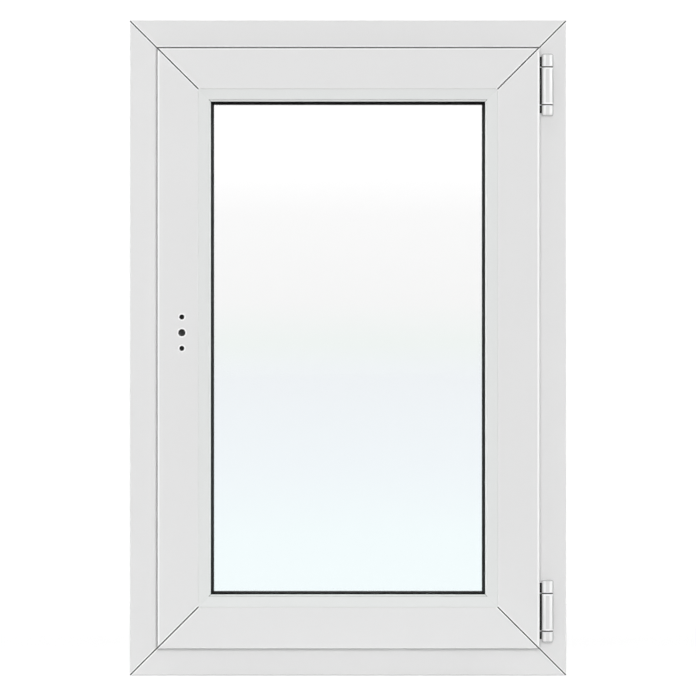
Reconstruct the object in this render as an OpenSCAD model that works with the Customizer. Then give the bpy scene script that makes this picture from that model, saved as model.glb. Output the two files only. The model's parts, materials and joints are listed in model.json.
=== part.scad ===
// Side-hung casement window in hollow uPVC profiles, opening into the room.
// Millimetres. X runs along the width, Z up, -Y towards the room; the hinges are at +X.
// The origin is the middle of the frame's underside.

/* [Window] */
// Overall width of the outer frame
window_w = 600; // [560:10:900]
// Overall height of the outer frame
window_h = 900; // [800:10:1400]
// Height of the handle spindle above the frame's underside
handle_z = 471; // [440:1:480]

/* [Profiles] */
// Depth of the outer frame from its room face to its weather face
frame_depth = 70; // [70:1:74]
// Height of the frame's rebate face above its outer edge
frame_rebate = 45; // [44:0.5:45]
// Height of the stop leg on the frame's weather side
frame_leg = 70; // [68:1:72]
// Distance from the frame's outer edge to the sash's outer edge
sash_edge = 37; // [36:0.5:38]
// Distance from the frame's outer edge to the sash's glazing rebate
glass_rebate = 94.5; // [94:0.5:96]
// How far the sash face stands proud of the frame face
sash_proud = 20; // [20:0.5:21]
// Thickness of the outer walls
wall = 3; // [2.5:0.1:3]
// Width of the groove left where a corner is welded
weld_w = 3.8; // [3:0.1:4]

/* [Glazing] */
// Thickness of one pane
pane_t = 4; // [3:1:4]
// Gap between the panes
pane_gap = 16; // [14:1:16]
// Visible width of a glazing bead
bead_w = 17.1; // [17:0.1:19]
// Visible width of the black glazing gasket
gasket_w = 4.4; // [3:0.1:5]

/* [Hinges] */
// Distance from the frame's outer edge to the hinge axis
hinge_inset = 26; // [25:0.5:26]
// Distance from the frame's end to the hinge's end
hinge_end = 46; // [40:1:80]
// Radius of the hinge barrel
barrel_r = 8.1; // [7.5:0.1:8.3]
// Radius of the hinge pin
pin_r = 3; // [2.5:0.5:3]
// Length of the frame's middle knuckle
middle_knuckle = 50.5; // [45:0.5:52]

/* [Lock] */
// Distance from the lock stile's rebate face to the handle spindle
backset = 15; // [15:0.1:15.4]
// Side of the square spindle socket
socket_w = 7.1; // [7:0.1:8]
// Distance between the two handle screws
screw_spacing = 43; // [43:1:46]
// Diameter of the hole for the spindle
spindle_hole_d = 10; // [10:0.5:12]
// Diameter of the holes for the handle screws
screw_hole_d = 7; // [6:0.5:10]
// Travel of the drive rails over a quarter turn
stroke = 18; // [18:0.1:18.4]

/* [Hidden] */
$fn = 48;
eps = 0.01;
pvc = [0.90, 0.90, 0.90];
rubber = [0.08, 0.08, 0.08];
zinc = [0.72, 0.73, 0.74];
steel = [0.62, 0.64, 0.66];
sides = ["bottom", "top", "lock", "hinge"];

// Places across the section: y is counted from the frame's room face, u from the frame's outer edge
sash_rebate = 57;                             // the sash's rebate face, a 12 mm gap from the frame's
sash_top_u = glass_rebate + 20;               // top of the sash's weather-side leg
sash_back = 50;                               // the sash's weather face
seal_gap = 3;                                 // gap behind the sash's overlap
leg_y = 53.5;                                 // room face of the frame's stop leg
glass_y = 5;                                  // room face of the inner pane
glass_t = 2 * pane_t + pane_gap;
glass_back = glass_y + glass_t;
weather_leg_y = glass_back + 4;               // room face of the sash's weather-side leg
bead_top_u = glass_rebate + bead_w;
sight_u = bead_top_u + gasket_w;
glass_edge_u = glass_rebate + 5;
block_h = glass_edge_u - glass_rebate;

// The groove along a welded corner: a narrow V between two shallow lips
weld_core_w = 1.6;
weld_core_d = 1.5;
weld_lip_d = 0.35;

// Frame chambers as [y, u] corners, low then high
frame_steel_room = [[18, 7], [49.5, 37]];
frame_chambers = [
    [[wall, wall], [16.5, 22]], [[wall, 23.5], [16.5, frame_rebate - wall]],
    frame_steel_room, [[18, 38.5], [39, frame_rebate - wall]],
    [[51, wall], [frame_depth - wall, 35]], [[leg_y + wall, 36.5], [frame_depth - wall, 60.5]]];
anchor_grooves = [[20, 24], [43.5, 47.5]];    // grooves in the outer edge for fixing clips
drain_y = 44;                                 // the drain channel starts here and is 5 mm deep
drain_u = frame_rebate - 5;

// Sash chambers, low then high
sash_steel_room = [[-4, 68.5], [30, 90.5]];
sash_chambers = [
    [[wall - sash_proud, 40], [-8, 53.5]], [[wall - sash_proud, 55.5], [-6.5, 86.5]],
    sash_steel_room, [[20, 60], [sash_back - wall, 66.5]],
    [[32, 68.5], [sash_back - wall, 91]], [[weather_leg_y + 4.5, 93], [sash_back - wall, sash_top_u - 3.5]]];

// Hardware groove in the sash's rebate face, centred 13 mm behind the overlap
groove_y = 13 - seal_gap;
groove_w = 12;
step_w = 16;
step_d = 2.5;
groove_d = 9;

// Drive rails, cams and keeps
plate_t = 2.2;
rail_w = 9;
rail_t = 2.5;
rail_d = 2.5;                                 // depth of the rail's outer face below the rebate face
cam_shank_r = 3;
cam_r = 6;
cam_top_u = 48.6;                             // the cam's outer face
keep_top_u = 52;
cam_places = [["lock", window_h / 2 - 200], ["lock", 200 - window_h / 2], ["top", 120], ["bottom", -120]];

// Pinion and rack: sixteen teeth on the pitch circle that gives the stroke in a quarter turn
teeth = 16;
pitch_r = stroke / (PI / 2);
tooth_pitch = 2 * PI * pitch_r / teeth;
pressure_angle = 20;
base_r = pitch_r * cos(pressure_angle);
tip_r = backset - rail_d - 0.1;
root_r = backset - rail_d - rail_t - 0.3;
backlash = 0.2;
tooth_half = (tooth_pitch / 2 - backlash) / 2 / pitch_r * 180 / PI;
pinion_w = 5.6;
rack_window_w = 6.4;
hub_r = 8;

// Gear case
case_w = groove_w;
case_skin = 1.2;
case_h = 64;
case_d = backset + tip_r + 0.4 + case_skin;
spindle_x = sash_rebate + backset - window_w / 2;

// Hinges
barrel_y = -9.8;
cap_h = 4;
knuckle_gap = 1.4;
knuckle_lip = 0.7;                            // rounding of the knuckles' edges beside the gaps
flange_t = knuckle_gap - 0.3;                 // each bush has a flange in its gap
hinge_h = 85.4;
lower_knuckle_top = 14.6;
upper_knuckle_start = lower_knuckle_top + middle_knuckle + 2 * knuckle_gap;
bush_r = pin_r + 1.2;
running_gap = 0.05;
hinge_x = window_w / 2 - hinge_inset;
hinge_bottoms = [hinge_end, window_h - hinge_end - hinge_h];
leaf_t = 1.8;

// Corner drives
corner_leg = 70;
band_r = 8;
band_t = 0.8;

// ---- Outlines -------------------------------------------------------------

function unit(v) = v / norm(v);
function wrap(a) = ((a + 540) % 360) - 180;

// Points of the arc of radius r that rounds the corner at b between a and c
function corner(a, b, c, r, n = 6) =
    let (p = unit(a - b), q = unit(c - b), half = acos(p * q) / 2,
         middle = b + unit(p + q) * r / sin(half),
         from = b + p * r / tan(half) - middle, to = b + q * r / tan(half) - middle,
         start = atan2(from[1], from[0]), turn = wrap(atan2(to[1], to[0]) - start))
    [for (i = [0:n]) middle + r * [cos(start + turn * i / n), sin(start + turn * i / n)]];

function flat(p) = [p[0], p[1]];

// An outline from corners [y, u, radius], where a radius of 0 is a sharp corner
function outline(pts) = let (n = len(pts))
    [for (i = [0:n - 1]) let (p = pts[i])
        each p[2] > 0
            ? corner(flat(pts[(i + n - 1) % n]), flat(p), flat(pts[(i + 1) % n]), p[2])
            : [flat(p)]];

module block(low, high) {
    translate(low) cube(high - low);
}

module rectangle(low, high) {
    translate(low) square(high - low);
}

// ---- Placing ----------------------------------------------------------------

// Moves y from "counted from the room face" to the part's own frame
module from_room_face() {
    translate([0, -frame_depth / 2, 0]) children();
}

function side_length(side) = side == "bottom" || side == "top" ? window_w : window_h;

// Puts a child drawn along X, with its outer edge at Z = 0, on one side of the window
module on_side(side) {
    from_room_face() {
        if (side == "bottom") children();
        if (side == "top") translate([0, 0, window_h]) rotate([0, 180, 0]) children();
        if (side == "lock") translate([-window_w / 2, 0, window_h / 2]) rotate([0, 90, 0]) children();
        if (side == "hinge") translate([window_w / 2, 0, window_h / 2]) rotate([0, -90, 0]) children();
    }
}

// Everything beyond the 45 degree mitre at the bar's +X end
module beyond_mitre(length) {
    translate([length / 2, 0, 0]) rotate([0, -45, 0]) block([0, -100, -50], [200, 150, 350]);
}

// Half of the V groove along the mitre on a face at face_y, from u0 to u1
module weld_groove(length, face_y, u0, u1) {
    translate([length / 2, face_y, 0]) rotate([0, -45, 0]) translate([0, 0, u0 * sqrt(2)])
        linear_extrude((u1 - u0) * sqrt(2))
            polygon([[1, weld_core_d], [0, weld_core_d], [-weld_core_w / 2, weld_lip_d], [-weld_w / 2, 0],
                [weld_core_w / 2 - weld_w, -weld_lip_d], [1, -weld_lip_d]]);
}

// A length of profile along one side; its 2D section is the child, in [y, u]
module straight_bar(side, length) {
    on_side(side) translate([-length / 2, 0, 0]) rotate([90, 0, 90]) linear_extrude(length) children();
}

module mitred_bar(side) {
    length = side_length(side);
    difference() {
        straight_bar(side, length) children();
        on_side(side) both_ends() beyond_mitre(length);
    }
}

module both_ends() {
    children();
    mirror([1, 0, 0]) children();
}

module welded_bar(side, face_y, u0, u1) {
    difference() {
        mitred_bar(side) children();
        on_side(side) both_ends() weld_groove(side_length(side), face_y, u0 - 1, u1 + 1);
    }
}

module mitred_ring() {
    for (side = sides) mitred_bar(side) children();
}

// A rectangular ring around the opening, from u0 to u1 and y0 to y1
module box_ring(u0, u1, y0, y1) {
    from_room_face() difference() {
        block([u0 - window_w / 2, y0, u0], [window_w / 2 - u0, y1, window_h - u0]);
        block([u1 - window_w / 2, y0 - 1, u1], [window_w / 2 - u1, y1 + 1, window_h - u1]);
    }
}

// A countersunk screw whose head's face is at z = 0 and whose point goes to -z
module screw(length, shank_r = 1.9, head_r = 3.6) {
    head_h = head_r - shank_r;
    translate([0, 0, -head_h]) cylinder(h = head_h, r1 = shank_r, r2 = head_r);
    translate([0, 0, -length + 2]) cylinder(h = length - 2 - head_h, r = shank_r);
    translate([0, 0, -length]) cylinder(h = 2, r1 = 0.4, r2 = shank_r);
}

// The hole that this screw sits in
module screw_seat(depth, shank_r = 1.9, head_r = 3.6) {
    head_h = head_r - shank_r;
    translate([0, 0, -head_h]) cylinder(h = head_h, r1 = shank_r, r2 = head_r);
    translate([0, 0, -eps]) cylinder(h = 1, r = head_r);
    translate([0, 0, -depth]) cylinder(h = depth - head_h + eps, r = shank_r);
}

// ---- Frame ------------------------------------------------------------------

module frame_section() {
    difference() {
        polygon(outline([
            [0, 0, 1.5], [0, frame_rebate, 2.5],
            [drain_y, frame_rebate, 0], [drain_y + 4, drain_u, 0], [leg_y, drain_u, 0],
            [leg_y, 62.5, 0], [leg_y + 2.5, 62.5, 0], [leg_y + 2.5, 66, 0], [leg_y, 66, 0],
            [leg_y, frame_leg, 1.5], [frame_depth, frame_leg - 4, 3], [frame_depth, 0, 1.5]]));
        for (c = frame_chambers) rectangle(c[0], c[1]);
        for (g = anchor_grooves) rectangle([g[0], -1], [g[1], 3.5]);
    }
}

module frame_bar(side) {
    color(pvc) welded_bar(side, 0, 0, frame_rebate) frame_section();
}

drain_places = [-window_w / 2 + 130, window_w / 2 - 130];

module frame_sill() {
    color(pvc) difference() {
        frame_bar("bottom");
        for (x = drain_places) on_side("bottom") {
            block([x - 13, frame_depth - 4, 12], [x + 13, frame_depth + 1, 17]);
            block([x + 30, leg_y - 3, 34], [x + 56, leg_y - 0.5, drain_u + 1]);
        }
    }
}

module frame_head() { frame_bar("top"); }

module frame_lock_jamb() { frame_bar("lock"); }

module frame_hinge_jamb() { frame_bar("hinge"); }

module frame_steel_section() {
    gap = 0.4;
    low = frame_steel_room[0] + [gap, gap];
    high = frame_steel_room[1] - [gap, gap];
    difference() {
        rectangle(low, high);
        rectangle(low + [1.5, 1.5], high - [1.5, 1.5]);
    }
}

frame_steel_end = frame_steel_room[1][1] + 6;

module frame_steel(side) {
    color(steel) straight_bar(side, side_length(side) - 2 * frame_steel_end) frame_steel_section();
}

module frame_sill_steel() { frame_steel("bottom"); }

module frame_head_steel() { frame_steel("top"); }

module frame_lock_steel() { frame_steel("lock"); }

module frame_hinge_steel() { frame_steel("hinge"); }

// Screws through the rebate face into the steel, near both ends of each bar
module frame_steel_screws() {
    color(zinc) for (side = sides, s = [-1, 1]) on_side(side)
        translate([s * (side_length(side) / 2 - 85), 30, frame_rebate]) screw(16);
}

module frame_stop_seal() {
    color(rubber) mitred_ring() polygon([
        [leg_y + 2.4, 62.6], [leg_y + 2.4, 65.9], [leg_y, 65.9], [leg_y - 0.8, 68.6], [leg_y - 2.6, 69.6],
        [sash_back + 0.3, 69.4], [sash_back + 0.3, 68.4], [leg_y - 1.6, 67.6], [leg_y - 1, 62.6]]);
}

// The keep's claw stands on the room side of the cam's locked place; the cam is at x = 0 when unlocked
module keep() {
    claw_in = groove_y - cam_r - 0.3;
    difference() {
        union() {
            block([-stroke - 16, 1.5, frame_rebate], [14, 18.5, frame_rebate + 2]);
            translate([0, 0, frame_rebate]) linear_extrude(keep_top_u - frame_rebate)
                polygon([[-stroke - 14, claw_in - 3], [-9, claw_in - 3], [-9, claw_in - 1.8],
                    [-13, claw_in], [-stroke - 14, claw_in]]);
        }
        for (x = keep_screw_x) translate([x, groove_y, frame_rebate + 2]) screw_seat(4);
    }
}

keep_screw_x = [-stroke - 10, 9];

module keeps() {
    color(zinc) for (place = cam_places) on_side(place[0]) translate([place[1], 0, 0]) keep();
}

module keep_screws() {
    color(zinc) for (place = cam_places, x = keep_screw_x)
        on_side(place[0]) translate([place[1] + x, groove_y, frame_rebate + 2]) screw(16);
}

// Covers that clip over the drain slots on the weather face, with a slot along their lower edge
module drain_caps() {
    color(pvc) for (x = drain_places) on_side("bottom") translate([x, frame_depth, 14.5]) difference() {
        rotate([90, 0, 90]) translate([0, 0, -18]) linear_extrude(36)
            polygon(outline([[0, -7, 0], [4.5, -6, 1.5], [4.5, 3, 2.5], [0, 7, 0]]));
        block([-14, -1, -8], [14, 3, 3]);
    }
}

// ---- Sash -------------------------------------------------------------------

module sash_section() {
    g0 = groove_y - groove_w / 2;
    g1 = groove_y + groove_w / 2;
    s0 = groove_y - step_w / 2;
    s1 = groove_y + step_w / 2;
    step_u = sash_rebate + step_d;
    deep_u = sash_rebate + groove_d;
    w = weather_leg_y;
    difference() {
        polygon(outline([
            [-sash_proud, sash_edge, 3], [-seal_gap, sash_edge, 1.2],
            [-seal_gap, 40, 0], [-seal_gap - 2.5, 40, 0], [-seal_gap - 2.5, 43, 0], [-seal_gap, 43, 0],
            [-seal_gap, sash_rebate, 0],
            [s0, sash_rebate, 0], [s0, step_u, 0], [g0, step_u, 0], [g0, deep_u, 0],
            [g1, deep_u, 0], [g1, step_u, 0], [s1, step_u, 0], [s1, sash_rebate, 0],
            [sash_back, sash_rebate, 1.5], [sash_back, sash_top_u, 3], [w, sash_top_u, 1.5],
            [w, 110.5, 0], [w + 2.5, 110.5, 0], [w + 2.5, 107.5, 0], [w, 107.5, 0],
            [w, glass_rebate, 0],
            [-5.5, glass_rebate, 0], [-5.5, glass_rebate - 4, 0], [-9.5, glass_rebate - 4, 0],
            [-9.5, glass_rebate, 0], [-sash_proud, glass_rebate, 1]]));
        for (c = sash_chambers) rectangle(c[0], c[1]);
    }
}

module sash_bar(side) {
    color(pvc) welded_bar(side, -sash_proud, sash_edge, glass_rebate) sash_section();
}

module sash_bottom_rail() { sash_bar("bottom"); }

module sash_top_rail() { sash_bar("top"); }

// The holes for the handle: the spindle in the middle and a screw above and below it
module handle_drilling(y0, y1) {
    from_room_face() translate([spindle_x, 0, handle_z]) rotate([-90, 0, 0]) translate([0, 0, y0]) {
        cylinder(h = y1 - y0, d = spindle_hole_d);
        for (s = [-1, 1]) translate([0, s * screw_spacing / 2, 0]) cylinder(h = y1 - y0, d = screw_hole_d);
    }
}

module gear_pocket() {
    gap = 0.2;
    from_room_face() block(
        [sash_rebate - window_w / 2 + plate_t, groove_y - case_w / 2 - gap, handle_z - case_h / 2 - gap],
        [sash_rebate - window_w / 2 + case_d + gap, groove_y + case_w / 2 + gap, handle_z + case_h / 2 + gap]);
}

module sash_lock_stile() {
    color(pvc) difference() {
        sash_bar("lock");
        gear_pocket();
        handle_drilling(-sash_proud - 1, groove_y);
    }
}

module sash_hinge_stile() { sash_bar("hinge"); }

// U section that opens towards the hardware groove
module sash_steel_section() {
    gap = 0.4;
    low = sash_steel_room[0] + [gap, gap];
    high = sash_steel_room[1] - [gap, gap];
    difference() {
        rectangle(low, high);
        rectangle(low + [1.5, -1], high - [1.5, 1.5]);
    }
}

sash_steel_end = sash_steel_room[1][1] + 6;

module sash_steel(side) {
    color(steel) straight_bar(side, side_length(side) - 2 * sash_steel_end) sash_steel_section();
}

module sash_bottom_steel() { sash_steel("bottom"); }

module sash_top_steel() { sash_steel("top"); }

module sash_lock_steel() {
    color(steel) difference() {
        sash_steel("lock");
        handle_drilling(-sash_proud, 0);
    }
}

module sash_hinge_steel() { sash_steel("hinge"); }

// Screws through the glazing rebate into the steel, near both ends of each bar
module sash_steel_screws() {
    color(zinc) for (side = sides, s = [-1, 1]) on_side(side)
        translate([s * (side_length(side) / 2 - 235), 2, glass_rebate]) screw(12);
}

// The lip is notched behind each hinge, where the leaves pass
module sash_overlap_seal() {
    color(rubber) difference() {
        mitred_ring() polygon([
            [-5.4, 40.1], [-5.4, 42.9], [-3, 42.9], [-2.2, 43.4], [-0.3, 39.2], [-0.3, 38.2],
            [-1.2, 38], [-3, 40.1]]);
        for (z = hinge_bottoms) from_room_face()
            block([window_w / 2 - 50, -8, z - 1], [window_w / 2 - 30, 1, z + hinge_h + 1]);
    }
}

// ---- Glazing ----------------------------------------------------------------

module bead_section() {
    top = bead_top_u;
    difference() {
        polygon(outline([
            [-18.8, glass_rebate, 0.6], [-17.2, top - 2.5, 0.3], [-15.8, top - 2.3, 0],
            [-15.2, top, 1.2], [-3, top, 0.8], [1, top - 6, 0], [1, glass_rebate, 0],
            [-5.9, glass_rebate, 0], [-5.9, glass_rebate - 3.4, 0], [-9.1, glass_rebate - 3.4, 0],
            [-9.1, glass_rebate, 0]]));
        polygon([[-16.8, glass_rebate + 1.8], [-14.8, top - 3.8], [-3, top - 3.6],
            [-0.8, top - 7], [-0.8, glass_rebate + 1.8]]);
    }
}

module bead(side) {
    color(pvc) mitred_bar(side) bead_section();
}

module bead_bottom() { bead("bottom"); }

module bead_top() { bead("top"); }

module bead_lock() { bead("lock"); }

module bead_hinge() { bead("hinge"); }

module bead_gasket() {
    top = bead_top_u;
    color(rubber) mitred_ring() polygon([
        [1, top - 8], [glass_y, top - 8], [glass_y, sight_u], [glass_y - 1.6, sight_u],
        [-2.4, top + 0.6], [-3, top], [1, top - 6]]);
}

module outer_glazing_gasket() {
    w = weather_leg_y;
    color(rubber) mitred_ring() polygon([
        [glass_back, 104], [w, 104], [w, 107.6], [w + 2.4, 107.6], [w + 2.4, 110.4], [w, 110.4],
        [w, sash_top_u - 1.5], [w - 1, sight_u - 1.2], [glass_back, sight_u - 1.2]]);
}

module pane(y) {
    e = glass_edge_u;
    from_room_face() block([e - window_w / 2, y, e], [window_w / 2 - e, y + pane_t, window_h - e]);
}

module inner_pane() {
    color([0.85, 0.95, 0.97, 0.35]) pane(glass_y);
}

module outer_pane() {
    color([0.85, 0.95, 0.97, 0.35]) pane(glass_y + pane_t + pane_gap);
}

spacer_u = glass_edge_u + 5;
spacer_h = 6.5;

module spacer_bar() {
    y0 = glass_y + pane_t;
    y1 = y0 + pane_gap;
    color(zinc) difference() {
        box_ring(spacer_u, spacer_u + spacer_h, y0, y1);
        box_ring(spacer_u + 1, spacer_u + spacer_h - 1, y0 + 1, y1 - 1);
    }
}

module edge_sealant() {
    y0 = glass_y + pane_t;
    color(rubber) box_ring(glass_edge_u, spacer_u, y0, y0 + pane_gap);
}

// Packers between the glass edge and the sash, two on each side
module setting_blocks() {
    color([0.2, 0.35, 0.6]) for (side = sides, s = [-1, 1]) on_side(side)
        translate([s * (side_length(side) / 2 - glass_edge_u - 70), 0, 0])
            block([-50, glass_y, glass_rebate], [50, glass_back, glass_rebate + block_h]);
}

// ---- Hinges -----------------------------------------------------------------

module at_hinge(z) {
    from_room_face() translate([hinge_x, barrel_y, z]) children();
}

// Distances from the hinge axis to the faces that the leaves lie on
face_dy = -barrel_y;                          // the frame's room face
lap_dy = -barrel_y - seal_gap;                // the back of the sash's overlap
frame_rebate_dx = hinge_inset - frame_rebate;
sash_rebate_dx = hinge_inset - sash_rebate;
leaf_back = 36;                               // how far a leaf reaches into the rebate

// A length of barrel whose edges are rounded by r0 at its foot and r1 at its top
module knuckle(h, r0, r1) {
    rotate_extrude() polygon(outline([[0, 0, 0], [barrel_r, 0, r0], [barrel_r, h, r1], [0, h, 0]]));
}

// The long middle knuckle, with a leaf that passes behind the overlap into the frame's rebate
module hinge_frame_leaf(z) {
    z0 = lower_knuckle_top + knuckle_gap;
    z1 = z0 + middle_knuckle;
    at_hinge(z) difference() {
        union() {
            translate([0, 0, z0]) knuckle(middle_knuckle, knuckle_lip, knuckle_lip);
            block([-5, 3, z0], [6, face_dy, z1]);
            block([frame_rebate_dx - leaf_t, face_dy - 2, z0], [6, face_dy, z1]);
            block([frame_rebate_dx - leaf_t, face_dy - 2, z0], [frame_rebate_dx, leaf_back, z1]);
        }
        translate([0, 0, z0 - 1]) cylinder(h = middle_knuckle + 2, r = pin_r);
        for (s = frame_leaf_screws) translate([frame_rebate_dx - leaf_t, s[0], s[1]])
            rotate([0, -90, 0]) screw_seat(leaf_t + 1);
    }
}

frame_leaf_screws = [for (z = [24, 59]) [26, z]];

end_knuckles = [[cap_h, lower_knuckle_top], [upper_knuckle_start, hinge_h - cap_h]];

// The two short end knuckles, joined by a leaf on the sash's rebate face
module hinge_sash_leaf(z) {
    z_end = hinge_h - cap_h;
    at_hinge(z) difference() {
        union() {
            translate([0, 0, cap_h]) knuckle(lower_knuckle_top - cap_h, 0, knuckle_lip);
            translate([0, 0, upper_knuckle_start]) knuckle(z_end - upper_knuckle_start, knuckle_lip, 0);
            for (s = end_knuckles) {
                block([-4, 3, s[0]], [2.5, lap_dy + leaf_t, s[1]]);
                block([sash_rebate_dx, lap_dy, s[0]], [2.5, lap_dy + leaf_t, s[1]]);
            }
            block([sash_rebate_dx, lap_dy, cap_h], [sash_rebate_dx + leaf_t, leaf_back, z_end]);
        }
        for (s = end_knuckles) translate([0, 0, s[0] - 1]) cylinder(h = s[1] - s[0] + 2, r = bush_r);
        block(
            [sash_rebate_dx - 1, lap_dy - 1, lower_knuckle_top],
            [0, lap_dy + leaf_t + 1, upper_knuckle_start]);
        for (s = sash_leaf_screws) translate([sash_rebate_dx + leaf_t, s[0], s[1]])
            rotate([0, 90, 0]) screw_seat(leaf_t + 1);
    }
}

sash_leaf_screws = [for (z = [14, 42.7, 71]) [32.5, z]];

module upper_hinge_frame_leaf() { color(pvc) hinge_frame_leaf(hinge_bottoms[1]); }

module lower_hinge_frame_leaf() { color(pvc) hinge_frame_leaf(hinge_bottoms[0]); }

module upper_hinge_sash_leaf() { color(pvc) hinge_sash_leaf(hinge_bottoms[1]); }

module lower_hinge_sash_leaf() { color(pvc) hinge_sash_leaf(hinge_bottoms[0]); }

module hinge_frame_screws() {
    color(zinc) for (z = hinge_bottoms, s = frame_leaf_screws)
        at_hinge(z) translate([frame_rebate_dx - leaf_t, s[0], s[1]]) rotate([0, -90, 0]) screw(20);
}

module hinge_sash_screws() {
    color(zinc) for (z = hinge_bottoms, s = sash_leaf_screws)
        at_hinge(z) translate([sash_rebate_dx + leaf_t, s[0], s[1]]) rotate([0, 90, 0]) screw(20);
}

module hinge_pin(z) {
    color(steel) at_hinge(z) translate([0, 0, cap_h]) cylinder(h = hinge_h - 2 * cap_h, r = pin_r);
}

module upper_hinge_pin() { hinge_pin(hinge_bottoms[1]); }

module lower_hinge_pin() { hinge_pin(hinge_bottoms[0]); }

// A bush in each end knuckle, with a flange that fills most of the gap to the middle one
module hinge_bushes() {
    flange_starts = [lower_knuckle_top, upper_knuckle_start - flange_t];
    color([0.3, 0.3, 0.3]) for (z = hinge_bottoms, i = [0, 1]) at_hinge(z) difference() {
        low = end_knuckles[i][0];
        high = end_knuckles[i][1];
        union() {
            translate([0, 0, low]) cylinder(h = high - low, r = bush_r);
            translate([0, 0, flange_starts[i]]) cylinder(h = flange_t, r = barrel_r - knuckle_lip);
        }
        translate([0, 0, low - 2]) cylinder(h = high - low + 4, r = pin_r + running_gap);
    }
}

// Domed covers on both ends of each barrel
module hinge_caps() {
    dome = outline([[0, 0, 0], [barrel_r, 0, 0], [barrel_r, cap_h, 3], [0, cap_h, 0]]);
    color(pvc) for (z = hinge_bottoms) at_hinge(z) {
        translate([0, 0, hinge_h - cap_h]) rotate_extrude() polygon(dome);
        translate([0, 0, cap_h]) mirror([0, 0, 1]) rotate_extrude() polygon(dome);
    }
}

// ---- Lock -------------------------------------------------------------------

module at_spindle() {
    from_room_face() translate([spindle_x, 0, handle_z]) children();
}

// Extrudes an outline drawn in [x, z] from y0 to y1
module across(y0, y1) {
    translate([0, y1, 0]) rotate([90, 0, 0]) linear_extrude(y1 - y0) children();
}

function involute(a) = tan(a) * 180 / PI - a;
function half_angle(r) = tooth_half + involute(pressure_angle) - involute(acos(min(1, base_r / r)));
function polar(r, a) = [r * cos(a), r * sin(a)];

tooth_radii = [root_r, base_r, pitch_r, tip_r];

module pinion_outline() {
    polygon([for (i = [0:teeth - 1]) let (a = 180 + i * 360 / teeth)
        each concat([for (r = tooth_radii) polar(r, a - half_angle(r))],
            [for (k = [3:-1:0]) polar(tooth_radii[k], a + half_angle(tooth_radii[k]))])]);
}

module spindle_hub() {
    color(zinc) at_spindle() difference() {
        union() {
            across(groove_y - case_w / 2, groove_y + case_w / 2) circle(hub_r);
            across(groove_y - pinion_w / 2, groove_y + pinion_w / 2) pinion_outline();
        }
        across(0, 2 * groove_y) square(socket_w, center = true);
    }
}

// One shell of the gear case, from y0 at its skin to the joint at the middle
module gear_shell(skin_y, skin_side) {
    inner_y = skin_y + skin_side * case_skin;
    front_x = plate_t - backset;
    back_x = case_d - backset;
    z = case_h / 2;
    at_spindle() difference() {
        union() {
            block([front_x, min(skin_y, inner_y), -z], [back_x, max(skin_y, inner_y), z]);
            for (s = [-1, 1]) {
                across(min(skin_y, groove_y), max(skin_y, groove_y))
                    translate([0, s * screw_spacing / 2]) circle(4.5);
                across(min(skin_y, groove_y), max(skin_y, groove_y))
                    translate([-7, s * (z - case_skin / 2) - case_skin / 2]) square([back_x + 7, case_skin]);
            }
            across(min(skin_y, groove_y), max(skin_y, groove_y))
                translate([back_x - case_skin, -z]) square([case_skin, 2 * z]);
        }
        across(0, 2 * groove_y) circle(hub_r + running_gap);
        for (s = [-1, 1]) {
            across(0, 2 * groove_y) translate([0, s * screw_spacing / 2]) circle(2.6);
            across(0, 2 * groove_y) translate([9, s * (z - 5)]) circle(1.5);
        }
    }
}

module gear_case_room() { color(zinc) gear_shell(groove_y - case_w / 2, 1); }

module gear_case_weather() { color(zinc) gear_shell(groove_y + case_w / 2, -1); }

module gear_rivets() {
    color(steel) for (s = [-1, 1]) at_spindle()
        across(groove_y - case_w / 2, groove_y + case_w / 2) translate([9, s * (case_h / 2 - 5)]) circle(1.5);
}

// A slot along X with round ends, from x0 to x1 between the ends' centres
module slot(x0, x1, r, h) {
    block([x0, -r, 0], [x1, r, h]);
    for (x = [x0, x1]) translate([x, 0, 0]) cylinder(h = h, r = r);
}

function cams_on(side) = [for (p = cam_places) if (p[0] == side) p[1]];
plate_screws = [["lock", 150], ["lock", -150], ["lock", 300], ["lock", -300], ["top", 40], ["bottom", -40]];
function screws_on(side) = [for (p = plate_screws) if (p[0] == side) p[1]];

// Faceplate from x0 to x1, slotted for the cams and countersunk for its screws
module faceplate(side, x0, x1) {
    clear = 0.3;
    color(zinc) on_side(side) difference() {
        block([x0, groove_y - step_w / 2, sash_rebate], [x1, groove_y + step_w / 2, sash_rebate + plate_t]);
        for (x = cams_on(side)) translate([0, groove_y, sash_rebate - 1])
            slot(x - stroke, x, cam_shank_r + clear, plate_t + 2);
        for (x = screws_on(side)) translate([x, groove_y, sash_rebate])
            mirror([0, 0, 1]) screw_seat(plate_t + 1);
    }
}

plate_end = 20;                               // the short faceplates end this far from the middle

module lock_faceplate() {
    half = window_h / 2 - sash_rebate - plate_t - 0.2;
    faceplate("lock", -half, half);
}

module top_faceplate() { faceplate("top", plate_end, window_w / 2 - sash_rebate); }

module bottom_faceplate() { faceplate("bottom", sash_rebate - window_w / 2, -plate_end); }

module faceplate_screws() {
    color(zinc) for (p = plate_screws) on_side(p[0])
        translate([p[1], groove_y, sash_rebate]) mirror([0, 0, 1]) screw(20);
}

// Drive rail from x0 to x1 in its unlocked place, slotted where the faceplate's screws pass
module rail(side, x0, x1) {
    u0 = sash_rebate + rail_d;
    on_side(side) difference() {
        block([x0, groove_y - rail_w / 2, u0], [x1, groove_y + rail_w / 2, u0 + rail_t]);
        for (x = screws_on(side)) translate([0, groove_y, u0 - 1]) slot(x, x + stroke, 2.3, rail_t + 2);
        for (x = cams_on(side)) translate([x, groove_y, u0 - 1]) cylinder(h = rail_t + 2, r = cam_shank_r);
    }
}

lock_half = window_h / 2 - sash_rebate - corner_leg - 2;

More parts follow.
